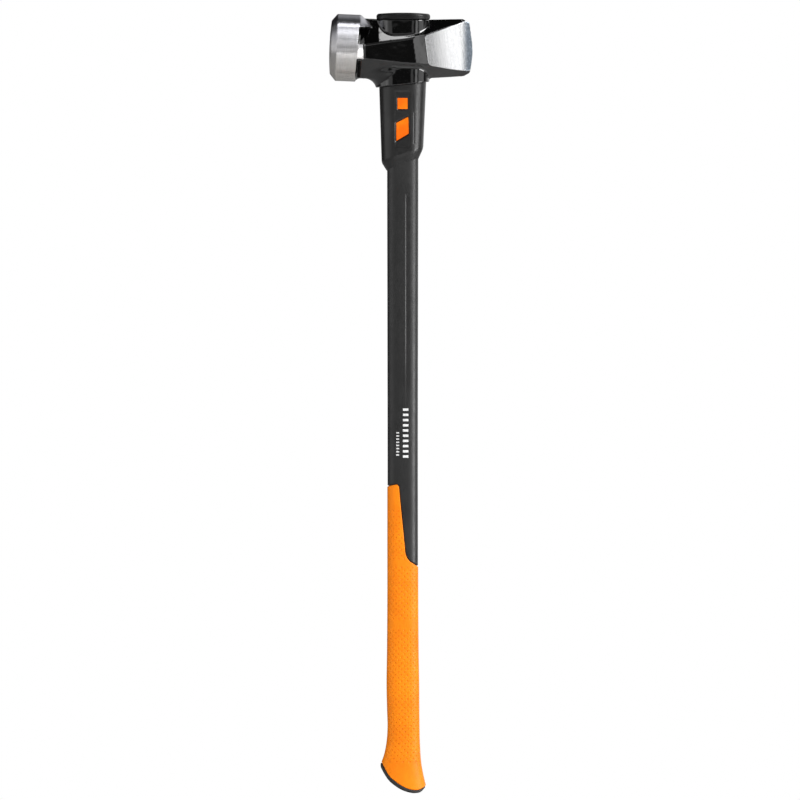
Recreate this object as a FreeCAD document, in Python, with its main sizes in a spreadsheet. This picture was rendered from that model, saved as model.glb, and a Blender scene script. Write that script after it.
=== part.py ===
import FreeCAD, Part
import math
import os

import Sketcher

# Splitting maul, upright on its butt: +Z runs up the handle, +X points towards the cutting edge
# and the tool is the same on both sides of the XZ plane. Millimetres. The origin is on the
# handle's axis, level with the lowest point of the butt.

os.makedirs("parts", exist_ok=True)
doc = FreeCAD.newDocument("splitting_maul")

# ---------------------------------------------------------------- driving dimensions

SIZES = {
    # the whole tool
    "overall_height": 914.4,
    "cut_depth": 200,
    "cut_clearance": 12,
    # the head: heights are measured from its middle line, which rises towards both ends
    "head_middle": 870.6,
    "head_rise": 2.3,
    "poll_radius": 39.25,
    "poll_rim_radius": 31.3,
    "poll_crown": 1.6,
    "poll_chamfer": 6.6,
    "poll_face": -84.4,
    "poll_back": -48.8,
    "poll_neck_radius": 34,
    "poll_neck_length": 5,
    "body_half_height": 35.2,
    "wedge_half_height": 34.4,
    "tip_half_height": 33.6,
    "poll_station": -52,
    "eye_station": -12.5,
    "shoulder_station": 14,
    "cheek_station": 27,
    "wedge_station": 56,
    "edge_station": 81.5,
    "poll_half_thickness": 34.5,
    "eye_half_thickness": 28.5,
    "shoulder_half_thickness": 25.6,
    "cheek_half_thickness": 21.6,
    "wedge_half_thickness": 12.2,
    "edge_half_thickness": 1.5,
    "ridge_half_width": 6.4,
    "cheek_ridge_half_width": 4.4,
    "blade_ridge_half_width": 2,
    "edge_ridge_half_width": 0.6,
    "poll_flat_half": 8.4,
    "poll_flat_drop": 4.2,
    "eye_flat_half": 12.6,
    "eye_flat_drop": 2.2,
    "blade_flat_drop": 1.6,
    "shoulder_flat_half": 15.8,
    "cheek_flat_half": 17,
    "wedge_flat_half": 24.6,
    "edge_flat_half": 29.2,
    "edge_bulge": 2.6,
    "edge_bulge_radius": 150,
    "tip_cut_length": 9.5,
    "tip_cut_height": 5.6,
    # the eye column: boss above, skirt below
    "boss_half_width": 30.6,
    "boss_depth_radius": 24,
    "boss_top": 906.6,
    "skirt_half_width": 31.4,
    "skirt_depth_radius": 24.6,
    "seam_height": 830.1,
    "seam_tilt": 6.2,
    "boss_rounding_radius": 2,
    "skirt_rounding_radius": 3,
    "middle_band": 8,
    "seam_band": 4,
    "eye_half_width": 20,
    "eye_radius": 15.5,
    # the flange on the eye
    "flange_half_width": 31.5,
    "flange_radius": 25,
    "flange_centre": 0.7,
    "flange_round": 3.2,
    "flange_stem_length": 6,
    # the collar below the head
    "collar_top_half_width": 27.7,
    "collar_top_radius": 21,
    "collar_edge_half_width": 25.7,
    "collar_edge_radius": 18.6,
    "collar_edge_height": 747,
    "collar_end_half_width": 19.5,
    "collar_end_radius": 14.7,
    "collar_end_height": 735.2,
    "collar_tilt": 19,
    "sleeve_bottom": 760,
    "upper_pad_reach": 19.2,
    "lower_pad_reach": 17.6,
    "upper_window_top": 814.4,
    "upper_window_bottom": 801.6,
    "upper_window_left": -6.1,
    "upper_window_right": 5.7,
    "lower_window_left": -7.4,
    "lower_window_right": 6.9,
    "lower_window_left_top": 785.2,
    "lower_window_right_top": 792.5,
    "lower_window_left_bottom": 764.3,
    "lower_window_right_bottom": 772.8,
    # the core inside the handle
    "core_half_width": 13.4,
    "core_radius": 9.4,
    "core_wall": 3.2,
    "core_bottom": 40,
    "core_plug_length": 16,
    # the handle's outside
    "shaft_top_half_width": 18.3,
    "shaft_half_width": 17.75,
    "shaft_half_depth": 14,
    "shaft_end": 390,
    "grip_thickness": 2.6,
    "grip_top": 362.7,
    "grip_top_fall": 5.7,
    "grip_corner": -6.3,
    "grip_edge_top": 357,
    "grip_edge_top_reach": -3.7,
    "grip_edge_low": 279,
    "grip_edge_low_reach": 4.2,
    "grip_full": 272.6,
    "grip_full_reach": 8.4,
    "grip_side": 268,
    "grip_side_reach": 16.4,
    "grip_end": 259,
    "grip_corner_radius": 5,
    "grip_heel_radius": 8,
    "grip_reach": 60,
    "grip_cut_top": 430,
    # the butt
    "sole_left_reach": -26.2,
    "sole_left_height": 31.3,
    "sole_low_reach": 14,
    "sole_right_reach": 27.4,
    "sole_right_height": 9.2,
    "sole_radius": 50,
    "sole_toe_radius": 13,
    "sole_thickness": 4.4,
    "sole_toe_share": 0.125,
    "sole_heel_run": 6,
    "sole_heel_rise": 12,
    "sole_toe_run": 6,
    "sole_toe_rise": 8,
    "cut_floor": -30,
}

# The grip's outline, from the shaft down: height, half width, offset of its middle towards the
# edge side, and half depth.
GRIP_STATIONS = [
    ("waist", 226, 17.85, 0.1, 14.2),
    ("swell", 172, 18.2, 0.1, 14.7),
    ("palm", 120, 18.85, 0.25, 15),
    ("throat", 78, 18.5, 0.9, 14.8),
    ("heel", 52, 20.2, 0.1, 15.6),
    ("flare", 34, 23.7, -1.9, 17.2),
    ("butt", -3, 33, -3, 20.5),
]

sheet = doc.addObject("Spreadsheet::Sheet", "Sizes")


def fill_sheet():
    """Write every driving dimension into the sheet, one row each, with its alias."""
    rows = list(SIZES.items())
    for name, height, half_width, offset, half_depth in GRIP_STATIONS:
        rows.append((name + "_height", height))
        rows.append((name + "_half_width", half_width))
        rows.append((name + "_offset", offset))
        rows.append((name + "_half_depth", half_depth))
    for number, (alias, size) in enumerate(rows, start=1):
        sheet.set("A%d" % number, alias)
        sheet.set("B%d" % number, "%g" % size)
        sheet.setAlias("B%d" % number, alias)
    doc.recompute()


fill_sheet()

# ---------------------------------------------------------------- sketching


def spell(expression):
    """An expression over the sheet's aliases, with each alias given its sheet's name."""
    words = []
    for word in expression.replace("(", "( ").replace(")", " )").split():
        sign = "-" if word.startswith("-") and len(word) > 1 else ""
        bare = word[len(sign):]
        words.append(sign + ("Sizes." + bare if "_" in bare else bare))
    return " ".join(words)


def measure(expression):
    """The value of an expression over the sheet's aliases."""
    return float(sheet.evalExpression(spell(expression).replace("Sizes.", "")))


def new_body(name):
    body = doc.addObject("PartDesign::Body", name)
    body.Label = name
    return body


def new_sketch(body, name, role, height=None, tilt=None, lift=None):
    """A sketch on one of the body's origin planes, moved along its normal by height, lifted
    within its plane by lift and tilted so that its right side rises by tilt degrees."""
    sketch = body.newObject("Sketcher::SketchObject", name)
    plane = [item for item in body.Origin.OriginFeatures if item.Role == role][0]
    sketch.AttachmentSupport = [(plane, "")]
    sketch.MapMode = "FlatFace"
    if tilt is not None:
        turn = FreeCAD.Rotation(FreeCAD.Vector(0, -1, 0), measure(tilt))
        sketch.AttachmentOffset = FreeCAD.Placement(FreeCAD.Vector(), turn)
        sketch.setExpression("AttachmentOffset.Rotation.Angle", spell(tilt))
    if height is not None:
        sketch.setExpression("AttachmentOffset.Base.z", spell(height))
    if lift is not None:
        sketch.setExpression("AttachmentOffset.Base.y", spell(lift))
    return sketch


def pin_point(sketch, geometry, point, x, y):
    """Hold a point at x and y, each an expression, from the sketch's origin."""
    across = Sketcher.Constraint("DistanceX", -1, 1, geometry, point, measure(x))
    sketch.setExpression("Constraints[%d]" % sketch.addConstraint(across), spell(x))
    up = Sketcher.Constraint("DistanceY", -1, 1, geometry, point, measure(y))
    sketch.setExpression("Constraints[%d]" % sketch.addConstraint(up), spell(y))


def shallow_arc(start, end, radius, side):
    """The short arc from start to end that bulges to the named side of the way it runs."""
    chord = end - start
    out = FreeCAD.Vector(chord.y, -chord.x, 0).normalize()
    if side == "left":
        out = -out
    rise = radius - math.sqrt(radius ** 2 - (chord.Length / 2) ** 2)
    return Part.Arc(start, (start + end) * 0.5 + out * rise, end)


def outline(sketch, corners):
    """A closed outline. Each corner is its x and its y and, where the edge to the next corner
    is an arc, that arc's radius and the side it bulges to. All but the side are expressions."""
    points = [FreeCAD.Vector(measure(corner[0]), measure(corner[1]), 0) for corner in corners]
    count = len(points)
    for number, corner in enumerate(corners):
        start = points[number]
        end = points[(number + 1) % count]
        if len(corner) == 4:
            sketch.addGeometry(shallow_arc(start, end, measure(corner[2]), corner[3]))
        else:
            sketch.addGeometry(Part.LineSegment(start, end))
    for number, corner in enumerate(corners):
        sketch.addConstraint(Sketcher.Constraint("Coincident", number, 2, (number + 1) % count, 1))
        pin_point(sketch, number, 1, corner[0], corner[1])
        if len(corner) == 4:
            bend = Sketcher.Constraint("Radius", number, measure(corner[2]))
            sketch.setExpression("Constraints[%d]" % sketch.addConstraint(bend), spell(corner[2]))


def oval(sketch, half_width, radius, centre="0"):
    """A flat-sided oval about the sketch's horizontal axis: two half circles of the given
    radius joined by two straight sides, half_width from its centre to each end."""
    wide = measure(half_width) - measure(radius)
    deep = measure(radius)
    middle = measure(centre)
    up = FreeCAD.Vector(0, 0, 1)
    right = Part.Circle(FreeCAD.Vector(middle + wide, 0, 0), up, deep)
    left = Part.Circle(FreeCAD.Vector(middle - wide, 0, 0), up, deep)
    sketch.addGeometry(Part.ArcOfCircle(right, -math.pi / 2, math.pi / 2))
    sketch.addGeometry(
        Part.LineSegment(
            FreeCAD.Vector(middle + wide, deep, 0), FreeCAD.Vector(middle - wide, deep, 0)
        )
    )
    sketch.addGeometry(Part.ArcOfCircle(left, math.pi / 2, 3 * math.pi / 2))
    sketch.addGeometry(
        Part.LineSegment(
            FreeCAD.Vector(middle - wide, -deep, 0), FreeCAD.Vector(middle + wide, -deep, 0)
        )
    )
    for first, second in ((0, 1), (1, 2), (2, 3), (3, 0)):
        sketch.addConstraint(Sketcher.Constraint("Tangent", first, 2, second, 1))
    sketch.addConstraint(Sketcher.Constraint("PointOnObject", 0, 3, -1))
    sketch.addConstraint(Sketcher.Constraint("PointOnObject", 2, 3, -1))
    bend = Sketcher.Constraint("Radius", 0, deep)
    sketch.setExpression("Constraints[%d]" % sketch.addConstraint(bend), spell(radius))
    reach = Sketcher.Constraint("DistanceX", -1, 1, 0, 3, middle + wide)
    sketch.setExpression(
        "Constraints[%d]" % sketch.addConstraint(reach),
        spell(centre + " + ( " + half_width + " ) - ( " + radius + " )"),
    )
    span = Sketcher.Constraint("DistanceX", 2, 3, 0, 3, 2 * wide)
    sketch.setExpression(
        "Constraints[%d]" % sketch.addConstraint(span),
        spell("2 * ( ( " + half_width + " ) - ( " + radius + " ) )"),
    )


def ellipse(sketch, half_width, half_depth, centre="0"):
    """An ellipse about the sketch's horizontal axis."""
    wide = measure(half_width)
    deep = measure(half_depth)
    middle = measure(centre)
    sketch.addGeometry(
        Part.Ellipse(
            FreeCAD.Vector(middle + wide, 0, 0),
            FreeCAD.Vector(middle, deep, 0),
            FreeCAD.Vector(middle, 0, 0),
        )
    )
    sketch.exposeInternalGeometry(0)
    sketch.addConstraint(Sketcher.Constraint("PointOnObject", 0, 3, -1))
    sketch.addConstraint(Sketcher.Constraint("Horizontal", 1))
    place = Sketcher.Constraint("DistanceX", -1, 1, 0, 3, middle)
    sketch.setExpression("Constraints[%d]" % sketch.addConstraint(place), spell(centre))
    for axis, length, size in ((1, wide, half_width), (2, deep, half_depth)):
        span = Sketcher.Constraint("Distance", axis, 2 * length)
        sketch.setExpression(
            "Constraints[%d]" % sketch.addConstraint(span), spell("2 * ( " + size + " )")
        )


def loft(body, name, sketches, ruled=False, cut=False):
    """A loft through sketches, added to the body or cut from it."""
    kind = "PartDesign::SubtractiveLoft" if cut else "PartDesign::AdditiveLoft"
    feature = body.newObject(kind, name)
    feature.Profile = sketches[0]
    feature.Sections = sketches[1:]
    feature.Ruled = ruled
    feature.Refine = False
    doc.recompute()
    return feature


def prism(body, name, bottom, top, half_width, radius, centre="0", cut=False):
    """An upright oval prism from bottom to top, added to the body or cut from it."""
    sketch = new_sketch(body, name + "_outline", "XY_Plane", height=bottom)
    oval(sketch, half_width, radius, centre)
    feature = body.newObject("PartDesign::Pocket" if cut else "PartDesign::Pad", name)
    feature.Profile = sketch
    feature.setExpression("Length", spell(top + " - ( " + bottom + " )"))
    feature.Reversed = cut
    doc.recompute()
    return feature


def through_cut(body, name, corners):
    """Cut an outline drawn in the XZ plane right through the body, on both sides of it."""
    sketch = new_sketch(body, name + "_outline", "XZ_Plane")
    outline(sketch, corners)
    feature = body.newObject("PartDesign::Pocket", name)
    feature.Profile = sketch
    feature.Type = "Length"
    feature.Midplane = True
    feature.setExpression("Length", "Sizes.cut_depth")
    feature.Refine = False
    doc.recompute()
    return feature


# ---------------------------------------------------------------- the head

# Each section of the forging is an octagon across the head: its place along X, its half
# thickness, the half width of its top and bottom ridges, the half height of its upright flat,
# how far that flat's middle sits below the middle line, and the half height of the section.
HEAD_STATIONS = [
    ("poll_station", "poll_half_thickness", "ridge_half_width", "poll_flat_half",
     "poll_flat_drop", "body_half_height"),
    ("eye_station", "eye_half_thickness", "ridge_half_width", "eye_flat_half",
     "eye_flat_drop", "body_half_height"),
    ("shoulder_station", "shoulder_half_thickness", "ridge_half_width", "shoulder_flat_half",
     "blade_flat_drop", "body_half_height"),
    ("cheek_station", "cheek_half_thickness", "cheek_ridge_half_width", "cheek_flat_half",
     "blade_flat_drop", "body_half_height"),
    ("wedge_station", "wedge_half_thickness", "blade_ridge_half_width", "wedge_flat_half",
     "blade_flat_drop / 2", "wedge_half_height"),
    ("edge_station", "edge_half_thickness", "edge_ridge_half_width", "edge_flat_half",
     "0", "tip_half_height"),
]


def octagon(body, number, station, thickness, ridge, flat, drop, height):
    """One octagonal section of the head, on a plane across the head."""
    sketch = new_sketch(body, "head_section_%d" % number, "YZ_Plane", height=station)
    middle = "head_middle + abs( " + station + " ) * tan( head_rise )"
    top = middle + " + " + height
    bottom = middle + " - ( " + height + " )"
    flat_top = middle + " - " + drop + " + " + flat
    flat_bottom = middle + " - " + drop + " - " + flat
    outline(
        sketch,
        [
            (ridge, top),
            ("-1 * ( " + ridge + " )", top),
            ("-1 * " + thickness, flat_top),
            ("-1 * " + thickness, flat_bottom),
            ("-1 * ( " + ridge + " )", bottom),
            (ridge, bottom),
            (thickness, flat_bottom),
            (thickness, flat_top),
        ],
    )
    return sketch


WALL_TOLERANCE = 0.5
UPRIGHT_LENGTH = 10


def is_on_column(point):
    """True where a point lies on the eye column's wall, within the tolerance."""
    rise = (point.z - measure("seam_height")) / measure("boss_top - seam_height")
    low_radius = measure("skirt_depth_radius")
    low_flat = measure("skirt_half_width") - low_radius
    radius = low_radius + rise * (measure("boss_depth_radius") - low_radius)
    flat = low_flat + rise * (measure("boss_half_width - boss_depth_radius") - low_flat)
    across = max(abs(point.x) - flat, 0)
    return abs(math.hypot(across, point.y) - radius) < WALL_TOLERANCE


def column_joint(shape, low, high):
    """Names of the edges where the forged body meets the eye column between two heights."""
    names = []
    for number, edge in enumerate(shape.Edges, start=1):
        first = edge.FirstParameter
        span = edge.LastParameter - first
        points = [edge.valueAt(first + span * part / 4) for part in range(5)]
        sideways = abs(points[0].x - points[4].x)
        upright = sideways < WALL_TOLERANCE and abs(points[0].z - points[4].z) > UPRIGHT_LENGTH
        inside = low < points[2].z < high
        if inside and not upright and all(is_on_column(point) for point in points):
            names.append("Edge%d" % number)
    return names


def round_joint(body, name, low, high, radius):
    """Round the forging's inner corner around the eye column between two heights."""
    base = body.Tip
    feature = body.newObject("PartDesign::Fillet", name)
    feature.Base = (base, column_joint(base.Shape, measure(low), measure(high)))
    feature.setExpression("Radius", spell(radius))
    doc.recompute()


def make_head():
    """One steel forging: wedge blade, octagonal body, eye column and turned poll."""
    body = new_body("maul_head")
    sections = [octagon(body, number, *row) for number, row in enumerate(HEAD_STATIONS)]
    loft(body, "forged_body", sections, ruled=True)

    # the blade's outline from the side: cut corners and a slightly bulging cutting edge
    edge_middle = "head_middle + edge_station * tan( head_rise )"
    upper = edge_middle + " + tip_half_height"
    lower = edge_middle + " - tip_half_height"
    through_cut(
        body,
        "edge_outline",
        [
            ("edge_station - tip_cut_length", lower + " - tip_cut_height"),
            ("edge_station - tip_cut_length", lower),
            ("edge_station - edge_bulge", lower + " + tip_cut_height", "edge_bulge_radius", "right"),
            ("edge_station - edge_bulge", upper + " - tip_cut_height"),
            ("edge_station - tip_cut_length", upper),
            ("edge_station - tip_cut_length", upper + " + tip_cut_height"),
            ("edge_station + tip_cut_length", upper + " + tip_cut_height"),
            ("edge_station + tip_cut_length", lower + " - tip_cut_height"),
        ],
    )

    # the eye column, whose lower end is cut on a slant
    skirt = new_sketch(body, "skirt_outline", "XY_Plane", height="seam_height", tilt="seam_tilt")
    oval(skirt, "skirt_half_width", "skirt_depth_radius")
    boss = new_sketch(body, "boss_outline", "XY_Plane", height="boss_top")
    oval(boss, "boss_half_width", "boss_depth_radius")
    loft(body, "eye_column", [skirt, boss], ruled=True)

    # the poll, turned about its own axis, with a crowned face
    crown_radius = "( poll_rim_radius ^ 2 + poll_crown ^ 2 ) / ( 2 * poll_crown )"
    profile = new_sketch(body, "poll_profile", "XZ_Plane", lift="head_middle")
    turn = FreeCAD.Rotation(FreeCAD.Vector(0, 0, 1), -measure("head_rise"))
    profile.AttachmentOffset = FreeCAD.Placement(profile.AttachmentOffset.Base, turn)
    outline(
        profile,
        [
            ("poll_back + poll_neck_length", "0"),
            ("poll_back + poll_neck_length", "poll_neck_radius"),
            ("poll_back", "poll_radius"),
            ("poll_face + poll_chamfer", "poll_radius"),
            ("poll_face", "poll_rim_radius", crown_radius, "right"),
            ("poll_face - poll_crown", "0"),
        ],
    )
    poll = body.newObject("PartDesign::Revolution", "turned_poll")
    poll.Profile = profile
    poll.ReferenceAxis = (profile, ["H_Axis"])
    poll.Angle = 360
    doc.recompute()

    round_joint(body, "boss_rounding", "head_middle + middle_band",
                "boss_top - boss_rounding_radius", "boss_rounding_radius")
    round_joint(body, "skirt_rounding", "seam_height + seam_band", "head_middle - middle_band",
                "skirt_rounding_radius")
    prism(body, "eye", "seam_height - cut_clearance", "boss_top + cut_clearance",
          "eye_half_width", "eye_radius", cut=True)
    return body


# ---------------------------------------------------------------- the eye's fittings


def make_flange():
    """The elastomer disc on the eye, with a stem down into it."""
    body = new_body("eye_flange")
    prism(body, "disc", "boss_top", "overall_height", "flange_half_width", "flange_radius",
          "flange_centre")
    rims = []
    for number, edge in enumerate(body.Tip.Shape.Edges, start=1):
        heights = {round(vertex.Z, 3) for vertex in edge.Vertexes}
        if len(heights) == 1:
            rims.append("Edge%d" % number)
    rounding = body.newObject("PartDesign::Fillet", "rounded_rims")
    rounding.Base = (body.getObject("disc"), rims)
    rounding.setExpression("Radius", spell("flange_round"))
    doc.recompute()
    prism(body, "stem", "boss_top - flange_stem_length", "boss_top + flange_round",
          "eye_half_width", "eye_radius")
    return body


def window_corners(upper):
    """The outline of one of the collar's two windows."""
    if upper:
        return [
            ("upper_window_left", "upper_window_bottom"),
            ("upper_window_right", "upper_window_bottom"),
            ("upper_window_right", "upper_window_top"),
            ("upper_window_left", "upper_window_top"),
        ]
    return [
        ("lower_window_left", "lower_window_left_bottom"),
        ("lower_window_right", "lower_window_right_bottom"),
        ("lower_window_right", "lower_window_right_top"),
        ("lower_window_left", "lower_window_left_top"),
    ]


def make_sleeve():
    """The insulating sleeve in the eye, with pads that fill the collar's windows."""
    body = new_body("insulation_sleeve")
    top = "boss_top - flange_stem_length"
    prism(body, "lining", "sleeve_bottom", top, "eye_half_width", "eye_radius")
    for upper in (True, False):
        name = "upper_pads" if upper else "lower_pads"
        sketch = new_sketch(body, name + "_outline", "XZ_Plane")
        outline(sketch, window_corners(upper))
        pads = body.newObject("PartDesign::Pad", name)
        pads.Profile = sketch
        pads.Midplane = True
        reach = "upper_pad_reach" if upper else "lower_pad_reach"
        pads.setExpression("Length", spell("2 * " + reach))
        doc.recompute()
    prism(body, "bore", "sleeve_bottom - cut_clearance", top + " + cut_clearance",
          "core_half_width", "core_radius", cut=True)
    return body


# ---------------------------------------------------------------- the handle


def make_core_tube():
    """The fibre-reinforced tube from the eye to the butt."""
    body = new_body("core_tube")
    top = "boss_top - flange_stem_length"
    prism(body, "tube", "core_bottom", top, "core_half_width", "core_radius")
    prism(body, "hollow", "core_bottom - cut_clearance", top + " + cut_clearance",
          "core_half_width - core_wall", "core_radius - core_wall", cut=True)
    return body


def make_core_filling(name, bottom, top):
    """A piece that fills the core tube's hollow from bottom to top."""
    body = new_body(name)
    prism(body, name + "_solid", bottom, top, "core_half_width - core_wall",
          "core_radius - core_wall")
    return body


def handle_section(body, name, station, inset):
    """One of the grip's oval sections, moved in by inset."""
    sketch = new_sketch(body, name, "XY_Plane", height=station + "_height")
    ellipse(sketch, station + "_half_width - " + inset, station + "_half_depth - " + inset,
            station + "_offset")
    return sketch


def handle_lofts(body, name, inset, top, cut=False):
    """The handle's outside, moved in by inset: straight between its sections from the height
    top down to the waist, and smooth from the waist down past the butt."""
    straight = []
    if top == "sleeve_bottom":
        start = new_sketch(body, name + "_top", "XY_Plane", height=top)
        ellipse(start, "shaft_top_half_width - " + inset, "shaft_half_depth - " + inset)
        straight.append(start)
    middle = new_sketch(body, name + "_shaft_end", "XY_Plane", height="shaft_end")
    ellipse(middle, "shaft_half_width - " + inset, "shaft_half_depth - " + inset)
    straight.append(middle)
    straight.append(handle_section(body, name + "_shaft_foot", "waist", inset))
    loft(body, name + "_shaft", straight, ruled=True, cut=cut)
    grip = [handle_section(body, name + "_" + row[0], row[0], inset) for row in GRIP_STATIONS]
    loft(body, name, grip, cut=cut)


def grip_boundary():
    """The line where the black shell meets the orange grip, from the poll side to the edge
    side of the handle."""
    return [
        ("-1 * grip_reach", "grip_top - grip_top_fall"),
        ("grip_corner", "grip_top", "grip_corner_radius", "left"),
        ("grip_edge_top_reach", "grip_edge_top"),
        ("grip_edge_low_reach", "grip_edge_low", "grip_heel_radius", "right"),
        ("grip_full_reach", "grip_full"),
        ("grip_side_reach", "grip_side"),
        ("grip_reach", "grip_end"),
    ]


def sole_line(rise):
    """The slanted, curving underside of the butt from its heel on the poll side to its toe,
    raised by rise, which fades out towards the toe."""
    toe_rise = rise + " * sole_toe_share"
    return [
        ("sole_left_reach - sole_heel_run", "sole_left_height + sole_heel_rise + " + rise),
        ("sole_left_reach", "sole_left_height + " + rise, "sole_radius", "right"),
        ("sole_low_reach", rise, "sole_toe_radius", "right"),
        ("sole_right_reach", "sole_right_height + " + toe_rise),
        ("sole_right_reach + sole_toe_run", "sole_right_height + sole_toe_rise + " + toe_rise),
    ]


def cut_below(body, name, line):
    """Cut away everything under a line that runs across the butt from left to right."""
    under = "cut_floor"
    through_cut(body, name, line + [("grip_reach", under), ("-1 * grip_reach", under)])


def cut_above(body, name, line):
    """Cut away everything over a line that runs across the handle from left to right."""
    over = "grip_cut_top"
    through_cut(body, name, line + [("grip_reach", over), ("-1 * grip_reach", over)])


def make_shell():
    """The handle's black shell, thinner where the grip lies over it."""
    body = new_body("handle_shell")
    handle_lofts(body, "shell_outside", "0", "sleeve_bottom")
    cut_below(body, "grip_recess", grip_boundary())
    handle_lofts(body, "shell_inside", "grip_thickness", "shaft_end")
    cut_below(body, "butt_cut", sole_line("sole_thickness"))
    prism(body, "core_bore", "core_bottom", "sleeve_bottom + cut_clearance", "core_half_width",
          "core_radius", cut=True)
    return body


def make_grip():
    """The orange overmould around the lower handle."""
    body = new_body("grip_sleeve")
    handle_lofts(body, "grip_outside", "0", "shaft_end")
    cut_above(body, "shell_zone", grip_boundary())
    handle_lofts(body, "grip_bore", "grip_thickness", "shaft_end", cut=True)
    cut_below(body, "butt_cut", sole_line("sole_thickness"))
    return body


def make_sole():
    """The black sole moulded across the butt."""
    body = new_body("butt_sole")
    handle_lofts(body, "sole_outside", "0", "shaft_end")
    cut_above(body, "grip_zone", sole_line("sole_thickness"))
    cut_below(body, "ground_cut", sole_line("0"))
    return body


# ---------------------------------------------------------------- the collar


def make_collar():
    """The elastomer collar under the head: a slanted, chamfered lower end, a slanted top that
    meets the skirt, and two windows on each side."""
    body = new_body("collar_shell")
    end = new_sketch(body, "collar_end", "XY_Plane", height="collar_end_height", tilt="collar_tilt")
    oval(end, "collar_end_half_width", "collar_end_radius")
    edge = new_sketch(body, "collar_edge", "XY_Plane", height="collar_edge_height", tilt="collar_tilt")
    oval(edge, "collar_edge_half_width", "collar_edge_radius")
    top = new_sketch(body, "collar_top", "XY_Plane", height="seam_height", tilt="seam_tilt")
    oval(top, "collar_top_half_width", "collar_top_radius")
    loft(body, "collar_outside", [end, edge, top], ruled=True)
    prism(body, "sleeve_bore", "sleeve_bottom", "seam_height + cut_clearance", "eye_half_width",
          "eye_radius", cut=True)
    upper = new_sketch(body, "shaft_bore_top", "XY_Plane", height="sleeve_bottom")
    ellipse(upper, "shaft_top_half_width", "shaft_half_depth")
    lower = new_sketch(body, "shaft_bore_end", "XY_Plane", height="shaft_end")
    ellipse(lower, "shaft_half_width", "shaft_half_depth")
    loft(body, "shaft_bore", [upper, lower], ruled=True, cut=True)
    through_cut(body, "upper_window", window_corners(True))
    through_cut(body, "lower_window", window_corners(False))
    return body


# ---------------------------------------------------------------- building and writing

core_top = "boss_top - flange_stem_length"
bodies = [
    make_head(),
    make_flange(),
    make_sleeve(),
    make_collar(),
    make_core_tube(),
    make_core_filling("core_top_plug", core_top + " - core_plug_length", core_top),
    make_core_filling("damping_core", "core_bottom + core_plug_length",
                      core_top + " - core_plug_length"),
    make_core_filling("core_end_plug", "core_bottom", "core_bottom + core_plug_length"),
    make_shell(),
    make_grip(),
    make_sole(),
]

doc.recompute()
for item in doc.Objects:
    if "Invalid" in item.State or "Error" in item.State:
        raise RuntimeError(item.Name + " failed: " + str(item.State))
for body in bodies:
    shape = body.Shape
    if shape.isNull() or not shape.isValid() or not shape.Solids:
        raise RuntimeError(body.Label + " has no valid solid")
    box = shape.optimalBoundingBox()
    print("%-18s %d solid, %9.1f mm3, X %.1f..%.1f Y %.1f..%.1f Z %.1f..%.1f" % (
        body.Label, len(shape.Solids), shape.Volume, box.XMin, box.XMax, box.YMin, box.YMax,
        box.ZMin, box.ZMax))
    shape.exportStep("parts/%s.step" % body.Label)
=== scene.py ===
import math

import bpy
import numpy as np
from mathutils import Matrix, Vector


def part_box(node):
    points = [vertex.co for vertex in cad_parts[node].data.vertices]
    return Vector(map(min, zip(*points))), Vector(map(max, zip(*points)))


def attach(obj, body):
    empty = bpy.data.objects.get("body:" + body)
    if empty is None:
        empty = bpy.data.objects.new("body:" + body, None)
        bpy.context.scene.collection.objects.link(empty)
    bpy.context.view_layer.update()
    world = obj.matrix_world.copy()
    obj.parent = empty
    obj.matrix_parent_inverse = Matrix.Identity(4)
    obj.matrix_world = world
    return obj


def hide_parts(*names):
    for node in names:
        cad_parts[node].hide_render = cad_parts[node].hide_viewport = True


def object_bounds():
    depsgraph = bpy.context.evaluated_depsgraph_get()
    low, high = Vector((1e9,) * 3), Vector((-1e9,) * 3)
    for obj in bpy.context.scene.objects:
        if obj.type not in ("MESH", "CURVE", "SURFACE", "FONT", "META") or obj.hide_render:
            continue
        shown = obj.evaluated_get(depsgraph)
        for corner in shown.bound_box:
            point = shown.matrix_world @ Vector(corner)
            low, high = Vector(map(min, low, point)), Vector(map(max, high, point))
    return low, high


# A splitting maul: one steel head on a moulded composite handle. Shapes are worked out in
# millimetres in the CAD frame and become metres when their meshes are made.

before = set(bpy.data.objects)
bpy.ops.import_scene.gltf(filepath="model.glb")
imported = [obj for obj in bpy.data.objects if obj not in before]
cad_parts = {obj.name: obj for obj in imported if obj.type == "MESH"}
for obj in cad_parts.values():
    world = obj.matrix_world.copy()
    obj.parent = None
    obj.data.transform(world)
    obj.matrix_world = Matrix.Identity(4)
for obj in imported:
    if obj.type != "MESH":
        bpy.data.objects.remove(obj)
cad_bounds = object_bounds()

MM = 0.001


def cad_box(node):
    """A CAD node's lowest and highest corners in millimetres."""
    low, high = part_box(node)
    return np.array(low) / MM, np.array(high) / MM


HEAD_LOW, HEAD_HIGH = cad_box("maul_head")
FLANGE_LOW, FLANGE_HIGH = cad_box("eye_flange")
COLLAR_LOW, COLLAR_HIGH = cad_box("collar_shell")
SOLE_LOW, SOLE_HIGH = cad_box("butt_sole")
SHELL_TOP = cad_box("handle_shell")[1][2]
GRIP_TOP = cad_box("grip_sleeve")[1][2]

# ------------ shape tools


def round_max(first, second, radius):
    """Both fields at once, their outer corner rounded to the radius."""
    over = np.hypot(np.maximum(first + radius, 0), np.maximum(second + radius, 0))
    return np.minimum(np.maximum(first, second), -radius) + over


def fillet_min(first, second, radius):
    """Either field, their inner corner filled to the radius."""
    under = np.hypot(np.maximum(radius - first, 0), np.maximum(radius - second, 0))
    return np.maximum(np.minimum(first, second), radius) - under


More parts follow.
